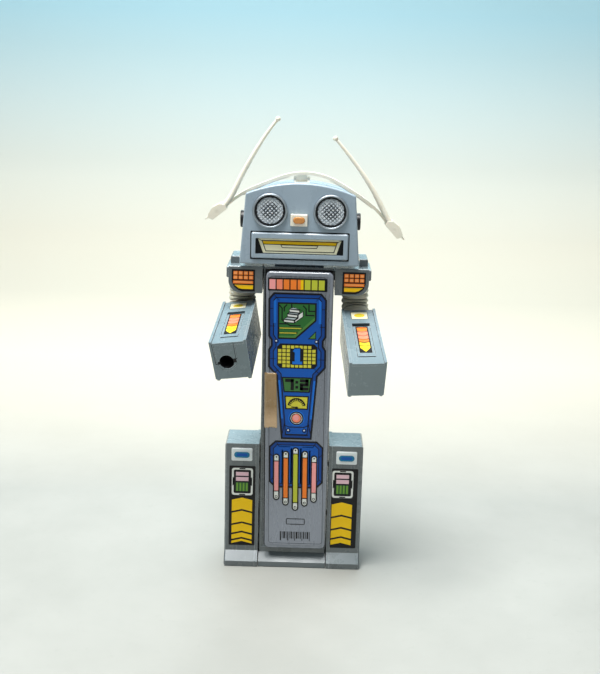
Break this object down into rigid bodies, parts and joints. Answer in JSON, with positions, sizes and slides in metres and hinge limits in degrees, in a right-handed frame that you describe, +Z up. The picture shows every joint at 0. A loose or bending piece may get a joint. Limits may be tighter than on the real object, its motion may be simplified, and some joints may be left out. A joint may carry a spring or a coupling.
{
  "type": "walking humanoid robot toy",
  "caption": "Battery walking robot toy: boxy head with round eyes, headband with rod antennas, tall column body, ribbed-hose arms with box forearms, stepping side legs.",
  "frame": {"origin": "floor level under the middle of the body column, half way between its front and rear faces", "axes": "+Z up, -Y is the way the robot faces, +X is the robot's left"},
  "size_m": [0.122, 0.0818, 0.2842],
  "materials": {
    "body_grey_plastic": "satin moulded plastic",
    "head_grey_plastic": "satin moulded plastic",
    "cream_plastic": "aged satin plastic",
    "black_plastic": "satin",
    "soft_cream_vinyl": "soft satin vinyl",
    "clear_lens": "clear moulded facets",
    "amber_lens": "tinted transparent",
    "chromed_reflector": "bright",
    "bulb_glass": "clear",
    "printed_label": "printed film",
    "black_label": "printed film",
    "screw_steel": "zinc plated",
    "spring_steel": "bright wire",
    "contact_metal": "plated strip",
    "cell_jacket": "printed jacket",
    "motor_steel": "plated can",
    "brass_gear": "machined",
    "white_gear_plastic": "natural acetal",
    "gearbox_plastic": "satin"
  },
  "bodies": {
    "torso": {"torso_front": "body_grey_plastic", "torso_rear": "body_grey_plastic", "torso_screws": "screw_steel", "front_cover": "body_grey_plastic", "front_label": "printed_label", "base_foot": "body_grey_plastic", "battery_door": "body_grey_plastic", "battery_cells": "cell_jacket", "battery_contacts": "contact_metal", "gearbox_left_plate": "gearbox_plastic", "gearbox_right_plate": "gearbox_plastic", "motor": "motor_steel", "shoulder_left": "body_grey_plastic", "shoulder_right": "body_grey_plastic", "shoulder_labels": "printed_label", "crown_clip": "cream_plastic", "head_face": "head_grey_plastic", "head_shell": "head_grey_plastic", "eye_bezels": "black_plastic", "eye_lenses": "clear_lens", "eye_reflectors": "chromed_reflector", "eye_bulbs": "bulb_glass", "nose_block": "cream_plastic", "nose_lens": "amber_lens", "mouth_frame": "head_grey_plastic", "mouth_label": "printed_label", "ear_discs": "black_plastic"},
    "power_switch": {"switch_knob": "black_plastic"},
    "drive_shaft": {"main_axle": "spring_steel", "drive_gear": "white_gear_plastic", "drive_cranks": "white_gear_plastic"},
    "idler_shaft": {"idler_axle": "spring_steel", "idler_cranks": "white_gear_plastic"},
    "second_stage": {"second_gear": "white_gear_plastic"},
    "first_stage": {"first_gear": "white_gear_plastic"},
    "motor_shaft": {"motor_pinion": "brass_gear"},
    "left_leg": {"leg_left_shell": "body_grey_plastic", "leg_left_plate": "body_grey_plastic", "leg_left_badge": "cream_plastic", "leg_left_label": "black_label"},
    "right_leg": {"leg_right_shell": "body_grey_plastic", "leg_right_plate": "body_grey_plastic", "leg_right_badge": "cream_plastic", "leg_right_label": "black_label"},
    "headgear": {"headband": "cream_plastic"},
    "left_antenna": {"antenna_left": "cream_plastic"},
    "right_antenna": {"antenna_right": "cream_plastic"},
    "left_upper_arm": {"left_swivel_ring": "black_plastic", "left_hose": "soft_cream_vinyl"},
    "right_upper_arm": {"right_swivel_ring": "black_plastic", "right_hose": "soft_cream_vinyl"},
    "left_lower_arm": {"left_forearm": "body_grey_plastic", "left_forearm_lid": "body_grey_plastic"},
    "right_lower_arm": {"right_forearm": "body_grey_plastic", "right_forearm_lid": "body_grey_plastic", "launch_barrel": "body_grey_plastic", "launch_spring": "spring_steel"},
    "left_grip": {"left_slider": "black_plastic"},
    "right_grip": {"launch_slider": "black_plastic"},
    "launcher": {"plunger": "black_plastic"}
  },
  "joints": [
    {"name": "walk_drive", "type": "hinge", "parent": "torso", "child": "drive_shaft", "pos_m": [0, 0, 0.06], "axis": [1, 0, 0], "continuous": true},
    {"name": "idler_turn", "type": "hinge", "parent": "torso", "child": "idler_shaft", "pos_m": [0, 0, 0.026], "axis": [1, 0, 0], "continuous": true},
    {"name": "second_stage_turn", "type": "hinge", "parent": "torso", "child": "second_stage", "pos_m": [0, 0.006, 0.068], "axis": [1, 0, 0], "continuous": true},
    {"name": "first_stage_turn", "type": "hinge", "parent": "torso", "child": "first_stage", "pos_m": [0, 0, 0.076], "axis": [1, 0, 0], "continuous": true},
    {"name": "motor_turn", "type": "hinge", "parent": "torso", "child": "motor_shaft", "pos_m": [0, -0.0045, 0.08493], "axis": [1, 0, 0], "continuous": true},
    {"name": "left_leg_step", "type": "hinge", "parent": "drive_shaft", "child": "left_leg", "pos_m": [0, 0, 0.0635], "axis": [1, 0, 0], "continuous": true},
    {"name": "right_leg_step", "type": "hinge", "parent": "drive_shaft", "child": "right_leg", "pos_m": [0, 0, 0.0635], "axis": [1, 0, 0], "continuous": true},
    {"name": "power_switch_slide", "type": "slide", "parent": "torso", "child": "power_switch", "axis": [1, 0, 0], "range_m": [0, 0.003]},
    {"name": "left_shoulder_swivel", "type": "hinge", "parent": "torso", "child": "left_upper_arm", "pos_m": [0.0353, 0.0032, 0.184], "axis": [0, 0, 1], "range_deg": [-6, 30]},
    {"name": "right_shoulder_swivel", "type": "hinge", "parent": "torso", "child": "right_upper_arm", "pos_m": [-0.0353, 0.0032, 0.184], "axis": [0, 0, 1], "range_deg": [-40, 4]},
    {"name": "left_elbow_bend", "type": "hinge", "parent": "left_upper_arm", "child": "left_lower_arm", "pos_m": [0.0353, 0.001, 0.165], "axis": [0.9952, 0.0976, 0], "range_deg": [-32, 50], "stiffness_Nm_per_rad": 0.15, "deforming": ["left_hose"]},
    {"name": "right_elbow_bend", "type": "hinge", "parent": "right_upper_arm", "child": "right_lower_arm", "pos_m": [-0.0353, 0.001, 0.165], "axis": [0.9978, -0.0663, 0], "range_deg": [-22, 64], "stiffness_Nm_per_rad": 0.15, "deforming": ["right_hose"]},
    {"name": "left_slider_slide", "type": "slide", "parent": "left_lower_arm", "child": "left_grip", "axis": [-0.0898, 0.9161, 0.3907], "range_m": [0, 0.003], "stiffness_N_per_m": 60},
    {"name": "launch_slider_slide", "type": "slide", "parent": "right_lower_arm", "child": "right_grip", "axis": [0.0642, 0.9665, 0.2487], "range_m": [0, 0.003], "stiffness_N_per_m": 60},
    {"name": "plunger_slide", "type": "slide", "parent": "right_lower_arm", "child": "launcher", "axis": [0.0642, 0.9665, 0.2487], "range_m": [0, 0.007], "stiffness_N_per_m": 40, "deforming": ["launch_spring"]},
    {"name": "headband_tilt", "type": "hinge", "parent": "torso", "child": "headgear", "pos_m": [0.00015, -0.002, 0.2469], "axis": [1, 0, 0], "range_deg": [-25, 25], "stiffness_Nm_per_rad": 0.05},
    {"name": "left_antenna_fold", "type": "hinge", "parent": "headgear", "child": "left_antenna", "pos_m": [0.05714, -0.0072, 0.21845], "axis": [0, 1, 0], "range_deg": [-5, 45], "stiffness_Nm_per_rad": 0.01},
    {"name": "right_antenna_fold", "type": "hinge", "parent": "headgear", "child": "right_antenna", "pos_m": [-0.05076, -0.0072, 0.22656], "axis": [0, 1, 0], "range_deg": [-55, 5], "stiffness_Nm_per_rad": 0.01}
  ],
  "couplings": [
    {"joint": "idler_turn", "follows": "walk_drive", "ratio": 1},
    {"joint": "second_stage_turn", "follows": "walk_drive", "ratio": -3},
    {"joint": "first_stage_turn", "follows": "walk_drive", "ratio": 9},
    {"joint": "motor_turn", "follows": "walk_drive", "ratio": -27},
    {"joint": "left_leg_step", "follows": "walk_drive", "ratio": -1},
    {"joint": "right_leg_step", "follows": "walk_drive", "ratio": -1}
  ]
}
